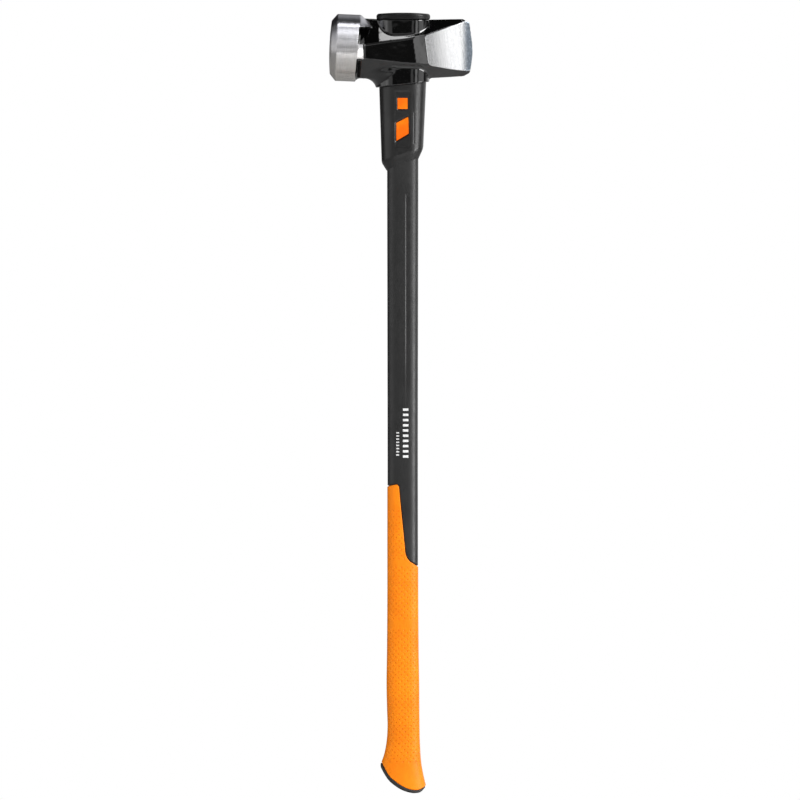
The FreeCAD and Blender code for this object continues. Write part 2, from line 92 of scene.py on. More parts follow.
def smooth_curve(stations, where):
    """A smooth curve through (place, size) stations, level beyond the first and last."""
    places = np.array([station[0] for station in stations], float)
    sizes = np.array([station[1] for station in stations], float)
    slopes = np.gradient(sizes, places)
    slopes[0] = 0
    slopes[-1] = 0
    where = np.clip(where, places[0], places[-1])
    span = np.clip(np.searchsorted(places, where, side="right") - 1, 0, len(places) - 2)
    gap = places[span + 1] - places[span]
    share = (where - places[span]) / gap
    rest = 1 - share
    return (
        sizes[span] * rest ** 2 * (1 + 2 * share)
        + sizes[span + 1] * share ** 2 * (1 + 2 * rest)
        + gap * share * rest * (slopes[span] * rest - slopes[span + 1] * share)
    )


def fade(value, start, end):
    """Zero at start, one at end, smooth between them."""
    share = np.clip((value - start) / (end - start), 0, 1)
    return share * share * (3 - 2 * share)


def oval_distance(x, y, half_width, radius):
    """Distance outside a flat-sided oval with round ends."""
    return np.hypot(np.maximum(np.abs(x) - (half_width - radius), 0), y) - radius


SLOPE_REACH = 0.02
PROJECTIONS = 5
LEAST_STEEP = 0.05


def slope_of(field, points):
    """The field's slope at each point."""
    slopes = np.empty_like(points)
    for axis in range(3):
        shift = np.zeros(3)
        shift[axis] = SLOPE_REACH
        ahead = field(*(points + shift).T)
        behind = field(*(points - shift).T)
        slopes[:, axis] = (ahead - behind) / (2 * SLOPE_REACH)
    return slopes


def surface_net(field, low, high, step, pad):
    """A closed mesh of quads where the field is zero: its points, faces and outward normals.
    The field is sampled every step, from low to high and a pad beyond them."""
    step *= 1
    low = np.asarray(low) - pad * step
    high = np.asarray(high) + pad * step
    axes = [np.arange(low[axis], high[axis] + step, step) for axis in range(3)]
    values = field(*np.meshgrid(*axes, indexing="ij", sparse=True))
    cells = np.array(values.shape) - 1
    strides = np.array([cells[1] * cells[2], cells[2], 1])
    rings = []
    spots = []
    for axis in range(3):
        across = [other for other in range(3) if other != axis]
        near = np.moveaxis(np.moveaxis(values, axis, 0)[:-1], 0, axis)
        far = np.moveaxis(np.moveaxis(values, axis, 0)[1:], 0, axis)
        edges = np.argwhere((near < 0) != (far < 0))
        start = near[tuple(edges.T)]
        spot = edges.astype(float)
        spot[:, axis] += start / (start - far[tuple(edges.T)])
        ring = np.repeat(edges[:, None, :], 4, axis=1)
        ring[:, 1:3, across[0]] -= 1
        ring[:, 2:4, across[1]] -= 1
        backwards = (start < 0) == (axis == 1)
        ring[backwards] = ring[backwards][:, ::-1]
        rings.append(ring @ strides)
        spots.append(spot)
    rings = np.concatenate(rings)
    spots = np.repeat(np.concatenate(spots), 4, axis=0)
    used, faces = np.unique(rings.ravel(), return_inverse=True)
    count = np.bincount(faces)
    middle = [np.bincount(faces, weights=spots[:, axis]) / count for axis in range(3)]
    points = np.stack(middle, axis=1) * step + [axes[axis][0] for axis in range(3)]
    for _ in range(PROJECTIONS):
        slopes = slope_of(field, points)
        steep = np.maximum((slopes ** 2).sum(1), LEAST_STEEP)
        move = slopes * (field(*points.T) / steep)[:, None]
        length = np.linalg.norm(move, axis=1, keepdims=True)
        points = points - move * np.minimum(1, 0.5 * step / np.maximum(length, 1e-9))
    normals = slope_of(field, points)
    normals /= np.maximum(np.linalg.norm(normals, axis=1, keepdims=True), 1e-9)
    return points, faces.reshape(-1, 4), normals


def add_piece(name, points, faces, material, nodes=(), normals=None, marks=None):
    """A mesh of the object, from points in millimetres, that rides on the tool's one body."""
    mesh = bpy.data.meshes.new(name)
    mesh.from_pydata((np.asarray(points) * MM).tolist(), [], [list(map(int, f)) for f in faces])
    mesh.update()
    mesh.polygons.foreach_set("use_smooth", [True] * len(mesh.polygons))
    if normals is not None:
        mesh.normals_split_custom_set_from_vertices(normals.tolist())
    for mark, values in (marks or {}).items():
        attribute = mesh.attributes.new(mark, "FLOAT", "POINT")
        attribute.data.foreach_set("value", np.asarray(values, np.float32))
    mesh.materials.append(material)
    piece = bpy.data.objects.new(name, mesh)
    bpy.context.scene.collection.objects.link(piece)
    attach(piece, "root")
    if nodes:
        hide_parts(*nodes)
    return piece


def add_solid(name, field, low, high, step, pad, material, node, marks=None):
    """The closed surface where the field is zero, as a piece in place of a CAD node."""
    points, faces, normals = surface_net(field, low, high, step, pad)
    add_piece(name, points, faces, material, [node], normals,
              marks(*points.T) if marks else None)


# ------------ material tools


class Nodes:
    """A short way to write a material's or the world's nodes."""

    def __init__(self, tree):
        self.tree = tree

    def add(self, kind, *inputs, **settings):
        """A node of the kind, its first inputs fed in order."""
        node = self.tree.nodes.new("ShaderNode" + kind)
        for key, value in settings.items():
            setattr(node, key, value)
        for socket, value in zip(node.inputs, inputs):
            self.feed(socket, value)
        return node

    def feed(self, socket, value):
        if isinstance(value, bpy.types.NodeSocket):
            self.tree.links.new(value, socket)
        else:
            socket.default_value = value

    def math(self, operation, *values):
        return self.add("Math", *values, operation=operation).outputs[0]

    def times(self, first, second):
        return self.math("MULTIPLY", first, second)

    def plus(self, first, second):
        return self.math("ADD", first, second)

    def ramp(self, value, low, high, start=0.0, end=1.0):
        """start where value is low, end where it is high."""
        return self.add("MapRange", value, low, high, start, end,
                        interpolation_type="SMOOTHSTEP").outputs[0]

    def spread(self, noise, start=0.0, end=1.0):
        """start to end over the usual range of a noise."""
        return self.ramp(noise, 0.3, 0.7, start, end)

    def mix_colour(self, share, first, second, blend="MIX"):
        node = self.add("Mix", share, data_type="RGBA", blend_type=blend)
        self.feed(node.inputs[6], first)
        self.feed(node.inputs[7], second)
        return node.outputs[2]

    def mix_shader(self, share, first, second):
        return self.add("MixShader", share, first, second).outputs[0]

    def place(self):
        return self.add("TexCoord").outputs["Object"]

    def parts(self, vector):
        return tuple(self.add("SeparateXYZ", vector).outputs)

    def join(self, x, y, z):
        return self.add("CombineXYZ", x, y, z).outputs[0]

    def cross(self, first, second):
        return self.add("VectorMath", first, second, operation="CROSS_PRODUCT").outputs[0]

    def mark(self, name):
        return self.add("Attribute", attribute_name=name).outputs["Fac"]

    def noise(self, where, scale, detail=2.0, roughness=0.5):
        unused = 0.0
        return self.add("TexNoise", where, unused, scale, detail, roughness).outputs["Fac"]

    def bump(self, height, strength, distance, under=None):
        node = self.add("Bump", strength, distance)
        self.feed(node.inputs["Height"], height)
        if under is not None:
            self.feed(node.inputs["Normal"], under)
        return node.outputs[0]

    def surface(self, **values):
        node = self.add("BsdfPrincipled")
        for key, value in values.items():
            self.feed(node.inputs[key.replace("_", " ")], value)
        return node.outputs[0]

    def show(self, shader, output="OutputMaterial"):
        self.add(output, shader)


def new_material(name):
    material = bpy.data.materials.new(name)
    material.use_nodes = True
    material.node_tree.nodes.clear()
    return material, Nodes(material.node_tree)


def grey(value):
    return (value, value, value, 1)


# ------------ the head's shape

# heights: the flange's stem ends below the boss, and the collar's top is the slanted seam
STEM_LENGTH = 6.0
BOSS_TOP = FLANGE_LOW[2] + STEM_LENGTH
HEAD_MIDDLE = BOSS_TOP - 36.0
SEAM_RISE = math.tan(math.radians(6.2))
SEAM_HEIGHT = COLLAR_HIGH[2] - COLLAR_HIGH[0] * SEAM_RISE
EYE = (20, 15.5)

# the poll, whose axis rises away from the eye
HEAD_RISE = math.radians(2.3)
POLL_RADIUS = 39.25
POLL_RIM_RADIUS = 31.3
POLL_FACE = 84.4
POLL_CROWN = 1.6
POLL_CHAMFER = 6.6
CONE_SLOPE = 0.84

# the cheek steps down at STEP_START and is ground bright from GROUND_START to the edge
CHEEK_LEAN = 0.135
STEP_START = 13.65
GROUND_START = 27.7
GROUND_DEPTH = 21.35
GROUND_ANGLE = math.radians(14.8)
GROUND_CURVE = 285.0
GROUND_LENGTH = 41.8
EDGE_ANGLE = math.radians(27)
EDGE_REACH = 82.0
EDGE_CURVE = 150
PAINTED_ROUND = 1.2

# the forging's sections: the ridge's half width, the upright flat's middle and half height,
# the half height, and the cheek's half thickness
BODY_PLACES = [-60, -45, -28, -12.5, 14, 22, 30, 56, 82]
BODY_RIDGE = [3.4, 3.4, 6.2, 6.2, 5.0, 0.8, 0.6, 0.5, 0.2]
BODY_FLAT_MIDDLE = [-4.2, -4.2, -3.15, -2.2, -1.6, -1.6, -1.6, -0.6, 0]
BODY_FLAT_HALF = [8.4, 8.6, 10.7, 12.6, 15.8, 17.0, 18.2, 25.2, 30.6]
BODY_HALF_HEIGHT = [35.2, 35.2, 35.2, 35.2, 35.2, 34.9, 34.6, 34.2, 33.6]
CHEEK_PLACES = [-60, -45, -28, -12.5, STEP_START, GROUND_START, 90]
CHEEK_DEPTHS = [26.2, 26.2, 28.3, 28.3, 26.8, 21.6, 3.2]


def poll_frame(x, z):
    """Distance along the poll's axis from the eye, and height above that axis."""
    along = -x * math.cos(HEAD_RISE) + (z - HEAD_MIDDLE) * math.sin(HEAD_RISE)
    above = x * math.sin(HEAD_RISE) + (z - HEAD_MIDDLE) * math.cos(HEAD_RISE)
    return along, above


def turned_poll(x, y, z):
    """The poll's turned surface: crowned face, chamfer, barrel and the cone behind it."""
    along, above = poll_frame(x, z)
    radius = np.hypot(above, y)
    crown = (POLL_RIM_RADIUS ** 2 + POLL_CROWN ** 2) / (2 * POLL_CROWN)
    centre = POLL_FACE + POLL_CROWN - crown
    face = np.hypot(along - centre, radius) - crown
    lean = (POLL_RADIUS - POLL_RIM_RADIUS) / POLL_CHAMFER
    chamfer = (radius - POLL_RIM_RADIUS + (along - POLL_FACE) * lean) / math.hypot(1, lean)
    barrel = radius - POLL_RADIUS
    cone = (barrel + CONE_SLOPE * (x - cone_edge(z))) / math.hypot(1, CONE_SLOPE)
    turned = round_max(round_max(barrel, chamfer, 0.6), face, 0.5)
    return round_max(turned, cone, 0.7)


def cone_edge(z):
    """Where the barrel ends and the cone behind it starts; it leans with the head."""
    return -52 + (z - HEAD_MIDDLE - 2.4) * 0.0805


def blade_depth(along):
    """The ground blade's half thickness: a cheek that steepens on an arc, then the edge."""
    reach = np.clip(along - GROUND_START, 0, GROUND_LENGTH)
    turn = np.arcsin(np.clip(math.sin(GROUND_ANGLE) + reach / GROUND_CURVE, -1, 1))
    drop = GROUND_CURVE * (math.cos(GROUND_ANGLE) - np.cos(turn))
    past = np.maximum(along - GROUND_START - GROUND_LENGTH, 0)
    return GROUND_DEPTH - drop - past * math.tan(EDGE_ANGLE)


def forged_body(x, y, z):
    """The octagonal forging from the poll's neck to the cutting edge, and a second field that
    is positive where the blade's cheek is ground bright."""
    middle = HEAD_MIDDLE + math.tan(HEAD_RISE) * np.hypot(x, 6)
    height = z - middle
    depth = np.abs(y)
    lean = x + (z - HEAD_MIDDLE) * CHEEK_LEAN * fade(x, 0, 10)
    ground = fade(lean, GROUND_START - 0.7, GROUND_START + 0.7)
    cheek = np.interp(lean, CHEEK_PLACES, CHEEK_DEPTHS) * (1 - ground) + blade_depth(lean) * ground
    bevel_depth = np.interp(x, CHEEK_PLACES, CHEEK_DEPTHS)
    bevel_depth = np.where(x > GROUND_START, np.minimum(bevel_depth, blade_depth(x)), bevel_depth)
    bevel_depth = np.maximum(bevel_depth, 1.5)
    ridge = np.interp(x, BODY_PLACES, BODY_RIDGE)
    flat_middle = np.interp(x, BODY_PLACES, BODY_FLAT_MIDDLE)
    flat_half = np.interp(x, BODY_PLACES, BODY_FLAT_HALF)
    half_height = np.interp(x, BODY_PLACES, BODY_HALF_HEIGHT)
    sides = (depth - cheek) * np.where(x > STEP_START, 0.93, 1.0)
    body = sides
    bright = lean - GROUND_START - 0.3
    rounding = PAINTED_ROUND - 0.6 * ground
    for sign in (1, -1):
        corner = sign * flat_middle + flat_half
        rise = half_height - corner
        run = bevel_depth - ridge
        bevel = (sign * height - corner) * run + (depth - bevel_depth) * rise
        bevel = bevel / np.hypot(rise, run)
        body = round_max(body, bevel, rounding)
        bright = -round_max(-bright, (bevel - sides) * 1.4 + 0.3, 4.0)
    body = round_max(body, height - half_height, PAINTED_ROUND)
    return round_max(body, -height - half_height, PAINTED_ROUND), bright


def blade_outline(x, z):
    """The blade's outline from the side: bulging edge and cut corners."""
    height = z - HEAD_MIDDLE
    edge = np.hypot(x - EDGE_REACH + EDGE_CURVE, height - 5.4) - EDGE_CURVE
    top = (x - 79.4) * 0.509 + (height - 31.1) * 0.861
    bottom = (x - 79.4) * 0.471 - (height + 26.3) * 0.882
    return round_max(round_max(edge, top, 1.5), bottom, 1.5)


def eye_column(x, y, z):
    """The column around the eye: boss above the forging, skirt below it."""
    share = (z - SEAM_HEIGHT) / (BOSS_TOP - SEAM_HEIGHT)
    wall = oval_distance(x, y, 31.3 - 0.7 * share, 24.6 - 2.4 * share)
    column = round_max(wall, z - BOSS_TOP, 1.6)
    return round_max(column, (SEAM_HEIGHT + x * SEAM_RISE - z) * 0.994, 1.0)


def head_parts(x, y, z):
    """The forging, the poll's blank joined to it, the poll's turned surface and the field
    that is positive on the blade's ground cheek."""
    above = poll_frame(x, z)[1]
    body, bright = forged_body(x, y, z)
    body = round_max(body, blade_outline(x, z), 0.5)
    # the skirt flares into the forging below the eye, most towards the poll
    low = fade(HEAD_MIDDLE - 15 - z, 0, 13)
    flare = 1.3 + (1.7 + 10 * fade(-x, -2, 24)) * low
    forging = fillet_min(body, eye_column(x, y, z), flare)
    # behind the poll: a painted wall, a lug above it and a gusset on each side
    wall = (x - cone_edge(z) + 0.9) * 0.997
    lug = round_max(25.4 - above, x + 35.5, 1.0)
    gusset = np.maximum(np.maximum(above - 4.9, -12.4 - above),
                        (x + 46.3) * 0.97 + (np.abs(y) - 34) * 0.24)
    filled = fillet_min(forging, wall, 2.6 + 3.4 * fade(-above, 5, 15))
    filled = fillet_min(filled, lug, 2.0)
    filled = fillet_min(filled, gusset, 0.8)
    forging = np.maximum(forging, cone_edge(z) + 1.5 - x)
    return forging, filled, turned_poll(x, y, z), bright


def head_field(x, y, z):
    forging, filled, turned = head_parts(x, y, z)[:3]
    solid = np.minimum(forging, np.maximum(turned, filled))
    return np.maximum(solid, -oval_distance(x, y, *EYE))


def bare_marks(x, y, z):
    """Fields that are positive on the poll's turned surface and on the blade's cheek."""
    forging, filled, turned, bright = head_parts(x, y, z)
    turned_bare = np.minimum(forging - np.maximum(turned, filled), turned - filled)
    return {"bare_poll": turned_bare, "bare_blade": bright}


HEAD_STEP = 0.82


def make_head(material):
    add_solid("forged_head", head_field, HEAD_LOW, HEAD_HIGH, HEAD_STEP, 2, material,
              "maul_head", bare_marks)


# ------------ the eye's flange

FLANGE_STEP = 0.55


def flange_field(x, y, z):
    """A domed disc with round edges and a shallow ring pressed into its top."""
    off_middle = x - (FLANGE_LOW[0] + FLANGE_HIGH[0]) / 2
    top = FLANGE_HIGH[2] - 1.4 * (x / 31) ** 2 - 0.4 * (y / 25) ** 2
    disc = round_max(oval_distance(off_middle, y, 31.5, 25), z - top, 3.0)
    disc = round_max(disc, BOSS_TOP - 0.3 - z, 2.2)
    ring = np.abs(oval_distance(off_middle, y, 25.5, 19)) - 0.7
    return np.maximum(disc, -round_max(ring, top - 0.7 - z, 0.3))


def make_flange(material):
    low = [FLANGE_LOW[0] - 2, FLANGE_LOW[1] - 2, BOSS_TOP - 3]
    add_solid("eye_disc", flange_field, low, FLANGE_HIGH + 2, FLANGE_STEP, 0, material,
              "eye_flange")


# ------------ the collar

COLLAR_STEP = 0.6
COLLAR_FOOT = -82.9
COLLAR_SLANT = math.radians(19)
FOOT_CHAMFER = 0.52
LOWER_BORE = (18, 13.9)
# the windows' corners: place along X and height from the seam
WINDOWS = [
    [(-5.5, -28.5), (5.5, -27.5), (5.5, -16.3), (-5.5, -16.3)],
    [(-7.5, -66.0), (7.3, -57.4), (6.4, -37.5), (-7.5, -44.9)],
]


def outline_distance(corners, x, z):
    """Distance outside a convex outline whose corners run anticlockwise in the XZ plane."""
    outside = -1e9
    for number, (x0, z0) in enumerate(corners):
        x1, z1 = corners[(number + 1) % len(corners)]
        length = math.hypot(x1 - x0, z1 - z0)
        side = ((x - x0) * (z1 - z0) - (z - z0) * (x1 - x0)) / length
        outside = round_max(outside, side, 0.8) if number else side
    return outside


def collar_wall(x, y, rise):
    """Distance outside the collar's tapering oval wall, before its ends are cut."""
    down = -4.5 - rise
    return oval_distance(x + 0.15 + 0.0065 * down, y, 27.35 - 0.0385 * down, 21 - 0.03 * down)


def collar_relief(x, rise):
    """How deep the collar's faces are pressed in: a long central panel, a thin line beside
    it and a small raised block."""
    panel = round_max(round_max(np.abs(x + 0.2) - 9.8, -74.6 - rise, 3.0), rise + 6.6, 3.0)
    relief = 0.7 * fade(-panel, -0.5, 2.2)
    line = np.maximum(np.abs(x - 13.4) - 0.5, np.abs(rise + 51.1) - 18)
    relief = relief + 0.35 * fade(-line, -0.7, 0.5)
    block = round_max(np.abs(x - 15.4) - 2.6, np.abs(rise + 21.6) - 10.5, 1.2)
    return relief - 0.2 * fade(-block, -1.2, 1.8)


def collar_field(x, y, z):
    """The collar: its pressed walls, slanted ends, bevelled windows and bore."""
    rise = z - SEAM_HEIGHT
    wall = collar_wall(x, y, rise) + collar_relief(x, rise)
    below = (COLLAR_FOOT + x * math.tan(COLLAR_SLANT) - rise) * math.cos(COLLAR_SLANT)
    chamfer = (wall + FOOT_CHAMFER * below) / math.hypot(1, FOOT_CHAMFER)
    collar = round_max(wall, chamfer, 1.2)
    collar = round_max(collar, below - 11, 0.8)
    collar = round_max(collar, (rise - x * SEAM_RISE) * 0.994, 0.7)
    for corners in WINDOWS:
        hole = outline_distance(corners, x, rise)
        bevel = (hole - 1.7 - wall) * 0.7
        collar = round_max(collar, -np.maximum(np.minimum(hole, bevel), -wall - 6), 0.45)
    bore = np.where(z > SHELL_TOP, oval_distance(x, y, *EYE), oval_distance(x, y, *LOWER_BORE))
    return np.maximum(collar, -bore)


def make_collar(material):
    add_solid("moulded_collar", collar_field, COLLAR_LOW, COLLAR_HIGH, COLLAR_STEP, 3,
              material, "collar_shell")


# ------------ the handle's outside

# height, then half width, offset towards the edge side and half depth
HANDLE_STATIONS = [
    (-12, 36, -3.4, 21.4),
    (0, 32.6, -3.2, 20.4),
    (14, 28.6, -2.9, 19.2),
    (34, 23.7, -2.0, 17.2),
    (42, 21.7, -0.9, 16.4),
    (52, 20.1, 0.1, 15.7),
    (64, 18.95, 0.7, 15.1),
    (78, 18.45, 0.95, 14.8),
    (96, 18.6, 0.6, 14.9),
    (120, 18.85, 0.25, 15),
    (172, 18.2, 0.1, 14.7),
    (226, 17.85, 0.1, 14.2),
    (300, 17.8, 0.05, 14.0),
    (390, 17.75, 0.0, 14.0),
    (560, 18.0, 0.0, 14.0),
    (760, 18.3, 0.0, 14.0),
]
SQUARENESS = 2.5

# where the grip lies: its tip, how far it stands proud and how far it stops before the seam
TIP_HEIGHT = GRIP_TOP + 0.27
GRIP_PROUD = 0.3
SEAM_GAP = -0.5

# the shell's mesh rows: height from, to and how many; finer near the grip and the groove's top
SHELL_ROWS = [(255, 370, 80), (371.5, 690, 120), (691, 712, 22), (714, SHELL_TOP + 2, 20)]
SHELL_COLUMNS = 200
SHELL_TUCK = -1.1
GROOVE_DEPTH = 0.95
# a height in the handle's plain stretch
PLAIN_HEIGHT = 300.0


def handle_sizes(z):
    """The handle's half width, offset and half depth at a height."""
    return [smooth_curve([(row[0], row[column]) for row in HANDLE_STATIONS], z)
            for column in (1, 2, 3)]


def handle_point(turn, z, lift=0.0):
    """Points on the handle's outside, from an angle around it and a height."""
    wide, offset, deep = handle_sizes(z)
    along = np.cos(turn)
    across = np.sin(turn)
    reach = ((np.abs(along) / wide) ** SQUARENESS + (np.abs(across) / deep) ** SQUARENESS)
    reach = reach ** (-1 / SQUARENESS)
    normal_x = np.sign(along) * np.abs(along * reach / wide) ** (SQUARENESS - 1) / wide
    normal_y = np.sign(across) * np.abs(across * reach / deep) ** (SQUARENESS - 1) / deep
    size = np.hypot(normal_x, normal_y)
    return np.stack([offset + along * reach + lift * normal_x / size,
                     across * reach + lift * normal_y / size,
                     z + 0 * turn], axis=-1)


def even_turns(count):
    """Angles that divide the handle's outline into equal lengths."""
    fine = np.linspace(0, 2 * math.pi, 4001)
    ring = handle_point(fine, PLAIN_HEIGHT)
    length = np.concatenate([[0], np.cumsum(np.linalg.norm(np.diff(ring, axis=0), axis=1))])
    return np.interp(np.linspace(0, length[-1], count + 1)[:-1], length, fine)


def grip_side(x, z):
    """Negative where the orange grip lies, positive on the black shell, in millimetres."""
    down = TIP_HEIGHT - z
    top = (-down - (x + 6) * 0.14 + 0.004 * np.minimum(x + 6, 0) ** 2) * 0.99
    steep = (x + 3.65 + (6.6 - down) * 0.1) * 0.995
    low = (87.8 - down + (x - 4) * 0.575) * 0.867
    return fillet_min(round_max(top, steep, 4.2), low, 5.5)


def sole_seam(x):
    """Height of the seam between the grip and the sole."""
    return smooth_curve([(-36, 59.5), (-23.5, 33.6), (-17.5, 22.5), (-7.4, 12.9), (3.5, 6.3),
                         (12.3, 3.8), (18.9, 4.1), (25.9, 7.9), (34, 17)], x)


def sole_bottom(x):
    """Height of the sole's underside."""
    return smooth_curve([(-36, 56), (-25.4, 29.6), (-19.2, 18.6), (-7.4, 7.4), (5.7, 1.2),
                         (15, 0), (21.4, 1.7), (26.4, 6.9), (34, 17)], x)


def curve_slope(curve, x):
    return (curve(x + 0.1) - curve(x - 0.1)) / 0.2


def seam_side(x, z):
    """Positive above the seam at the butt, in millimetres."""
    return (z - sole_seam(x)) / np.hypot(1, curve_slope(sole_seam, x))


def split_faces(points, faces, field, level):
    """Cut every face along the line where the field has the level."""
    points = list(map(tuple, points))
    values = list(field(np.array(points)) - level)
    cuts = {}
    result = []

    def cut(first, second):
        key = (min(first, second), max(first, second))
        if key not in cuts:
            share = values[first] / (values[first] - values[second])
            spot = tuple(np.array(points[first]) * (1 - share) + np.array(points[second]) * share)
            cuts[key] = len(points)
            points.append(spot)
            values.append(0.0)
        return cuts[key]

    for face in faces:
        signs = [values[corner] > 0 for corner in face]
        if all(signs) or not any(signs):
            result.append(face)
            continue
        halves = ([], [])
        for number, corner in enumerate(face):
            following = face[(number + 1) % len(face)]
            halves[signs[number]].append(corner)
            if signs[number] != (values[following] > 0):
                joint = cut(corner, following)
                halves[0].append(joint)
                halves[1].append(joint)
        result.extend(half for half in halves if len(half) > 2)
    return np.array(points), result


def keep_faces(points, faces, wanted):
    """The faces whose middle is wanted, with only the points that they use."""
    middles = np.array([points[face].mean(0) for face in faces])
    kept = [face for face, keep in zip(faces, wanted(middles)) if keep]
    used = np.unique([corner for face in kept for corner in face])
    number = {old: new for new, old in enumerate(used)}
    return points[used], [[number[corner] for corner in face] for face in kept]


def sheet_grid(turns, heights):
    """Points (turn number, height) and faces of a sheet wrapped around the handle."""
    count = len(turns)
    numbers, levels = np.meshgrid(np.arange(count + 1), heights, indexing="ij")
    points = np.stack([numbers.ravel(), levels.ravel()], axis=1).astype(float)
    rows = len(heights)
    faces = [[i * rows + j, (i + 1) * rows + j, (i + 1) * rows + j + 1, i * rows + j + 1]
             for i in range(count) for j in range(rows - 1)]
    return points, faces


def turn_at(turns, number):
    """The angle at a fractional place in the list of turns."""
    closed = np.append(turns, turns[0] + 2 * math.pi)
    return np.interp(number, np.arange(len(closed)), closed)


def wrap(turns, points, faces, lift):
    """The sheet in space, its two side edges joined into one, and the points it kept."""
    space = handle_point(turn_at(turns, points[:, 0]), points[:, 1], lift)
    keys = np.round(space * 1e4).astype(np.int64)
    unique, first, inverse = np.unique(keys, axis=0, return_index=True, return_inverse=True)
    inverse = inverse.ravel()
    joined = []
    for face in faces:
        corners = list(dict.fromkeys(inverse[corner] for corner in face))
        if len(corners) > 2:
            joined.append(corners)
    return space[first], joined, first


def edge_dip(distance, radius, depth):
    """How far a moulded edge rolls down as it comes within its radius of the seam."""
    share = np.clip(1 - distance / radius, 0, 1)
    return -depth * (1 - np.sqrt(np.maximum(1 - share ** 2, 0)))


def groove_depth(x, z):
    """The shaft's long shallow groove: a short steep side and a long gentle one."""
    steep = fade(x, 2.7, 4.3)
    gentle = 1 - np.clip((x - 4.3) / 4.4, 0, 1)
    down = SHELL_TOP - z
    along = fade(down, 56, 61) * (1 - fade(down, 200, 346))
    return GROOVE_DEPTH * np.minimum(steep, gentle) * along


def sheet_place(turns, spots):
    """The sheet's spots (turn number, height) in space."""
    return handle_point(turn_at(turns, spots[:, 0]), spots[:, 1])


def sheet_side(turns, spots, side):
    """The value of a side function, of x and z, at the sheet's spots."""
    place = sheet_place(turns, spots)
    return side(place[:, 0], place[:, 2])


def make_shell(material):
    turns = even_turns(SHELL_COLUMNS)
    heights = np.concatenate([np.linspace(*row) for row in SHELL_ROWS])
    points, faces = sheet_grid(turns, heights)

    def side(spots):
        return sheet_side(turns, spots, grip_side)

    for level in (SHELL_TUCK, 0.0, 0.12, 0.4, 0.8):
        points, faces = split_faces(points, faces, side, level)
    points, faces = keep_faces(points, faces, lambda spots: side(spots) > SHELL_TUCK)
    place = sheet_place(turns, points)
    lift = edge_dip(side(points), 0.9, 1.5) - groove_depth(place[:, 0], points[:, 1])
    space, joined = wrap(turns, points, faces, lift)[:2]
    add_piece("shaft_shell", space, joined, material, ["handle_shell"])


# ------------ the orange grip

# the grip's sheet is divided into cells of a few columns and rows; some hold a dimple
DIMPLE_CELLS = 32
CELL_STEPS = 3
CELL_HEIGHT = 3.5
DIMPLE_DEPTH = 0.68
# a dimple's rings of points: radius, then how deep
DIMPLE_RINGS = [(1.3, 0.0), (1.08, -0.05), (0.78, -0.36), (0.4, -0.6)]
# heights between which there are dimples, and how near they come to the grip's edges
DIMPLE_ZONES = [(272, 334), (204, 266), (36, 194)]
CLEAR_OF_TOP = -3
CLEAR_OF_SEAM = 6
CLEAR_OF_SIDES = 5.5


def dimple_cell(border, centre, cell_width):
    """The points inside a cell's border, ring by ring to the middle, and their depths."""
    away = (np.array(border) - centre) * [cell_width, 1]
    away /= np.linalg.norm(away, axis=1, keepdims=True)
    points = []
    depths = []
    for radius, depth in DIMPLE_RINGS:
        points.extend(centre + away * radius / [cell_width, 1])
        depths.extend([depth] * len(away))
    return points + [centre], depths + [-DIMPLE_DEPTH]


def dimpled_cells(turns, cell_rows):
    """The cells (column, row) that hold a dimple, every other one as on a chessboard."""
    across, up = np.meshgrid(np.arange(DIMPLE_CELLS), np.arange(cell_rows), indexing="ij")
    across = across.ravel()
    up = up.ravel()
    middles = np.stack([(across + 0.5) * CELL_STEPS, (up + 0.5) * CELL_HEIGHT], 1)
    chosen = (across + up) % 2 == 0
    chosen &= sheet_side(turns, middles, grip_side) < CLEAR_OF_TOP
    chosen &= sheet_side(turns, middles, seam_side) > CLEAR_OF_SEAM
    chosen &= np.abs(sheet_place(turns, middles)[:, 1]) > CLEAR_OF_SIDES
    zones = np.zeros(len(middles), bool)
    for low, high in DIMPLE_ZONES:
        zones |= (middles[:, 1] > low) & (middles[:, 1] < high)
    return set(map(tuple, np.stack([across, up], 1)[chosen & zones]))


def plain_faces(corner, per_column):
    """A plain cell's faces between the sheet's own points."""
    steps = range(CELL_STEPS)
    firsts = [corner + a * per_column + b for a in steps for b in steps]
    return [[first, first + per_column, first + per_column + 1, first + 1] for first in firsts]


def border_points(corner, per_column):
    """The numbers of the points around a cell, anticlockwise."""
    steps = range(CELL_STEPS)
    walk = [(a, 0) for a in steps] + [(CELL_STEPS, b) for b in steps]
    walk += [(CELL_STEPS - a, CELL_STEPS) for a in steps] + [(0, CELL_STEPS - b) for b in steps]
    return [corner + a * per_column + b for a, b in walk]


def ring_faces(border, base):
    """A dimpled cell's faces, from its border inwards; base is its first inner point."""
    count = len(border)
    faces = []
    outer = border
    for ring in range(len(DIMPLE_RINGS)):
        inner = [base + ring * count + k for k in range(count)]
        for k in range(count):
            after = (k + 1) % count
            faces.append([outer[k], outer[after], inner[after], inner[k]])
        outer = inner
    middle = base + len(DIMPLE_RINGS) * count
    return faces + [[outer[k], outer[(k + 1) % count], middle] for k in range(count)]


